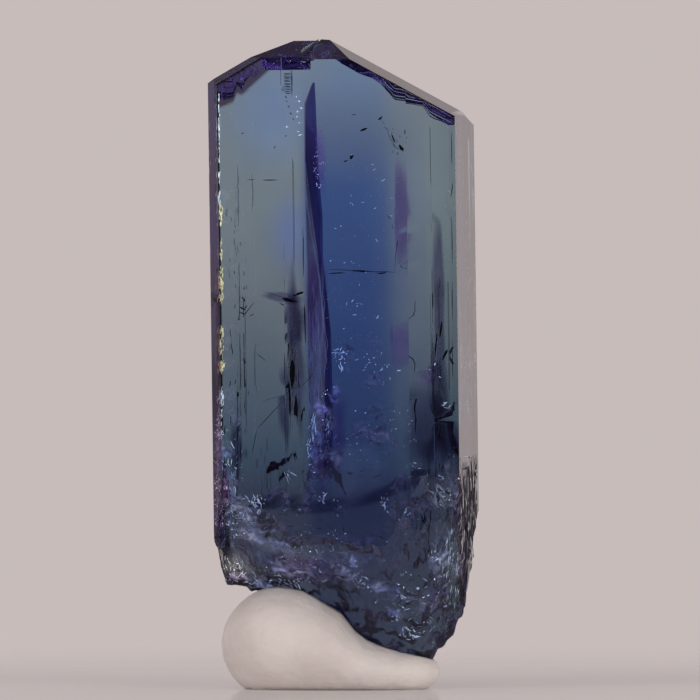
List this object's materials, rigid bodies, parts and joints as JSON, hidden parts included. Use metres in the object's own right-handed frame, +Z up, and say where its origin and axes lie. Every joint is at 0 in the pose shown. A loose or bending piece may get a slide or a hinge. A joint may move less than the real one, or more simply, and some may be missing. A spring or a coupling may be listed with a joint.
{
  "type": "tanzanite crystal",
  "caption": "Blue-violet prismatic crystal with a sloping top and a broken base, held upright in a pea-sized lump of white mounting putty.",
  "frame": {"origin": "the middle of the whole object's box, at the bottom, on the surface that the putty rests on", "axes": "+Z up along the crystal, +Y through its depth, front at -Y, +X to the right seen from the front"},
  "size_m": [0.011, 0.0072, 0.0275],
  "materials": {
    "tanzanite": "clear natural crystal faces, blue to violet, with a splintery broken base",
    "putty": "smooth matt, hand pressed"
  },
  "bodies": {
    "root": {"tanzanite_crystal": "tanzanite", "putty_stand": "putty"}
  },
  "joints": []
}
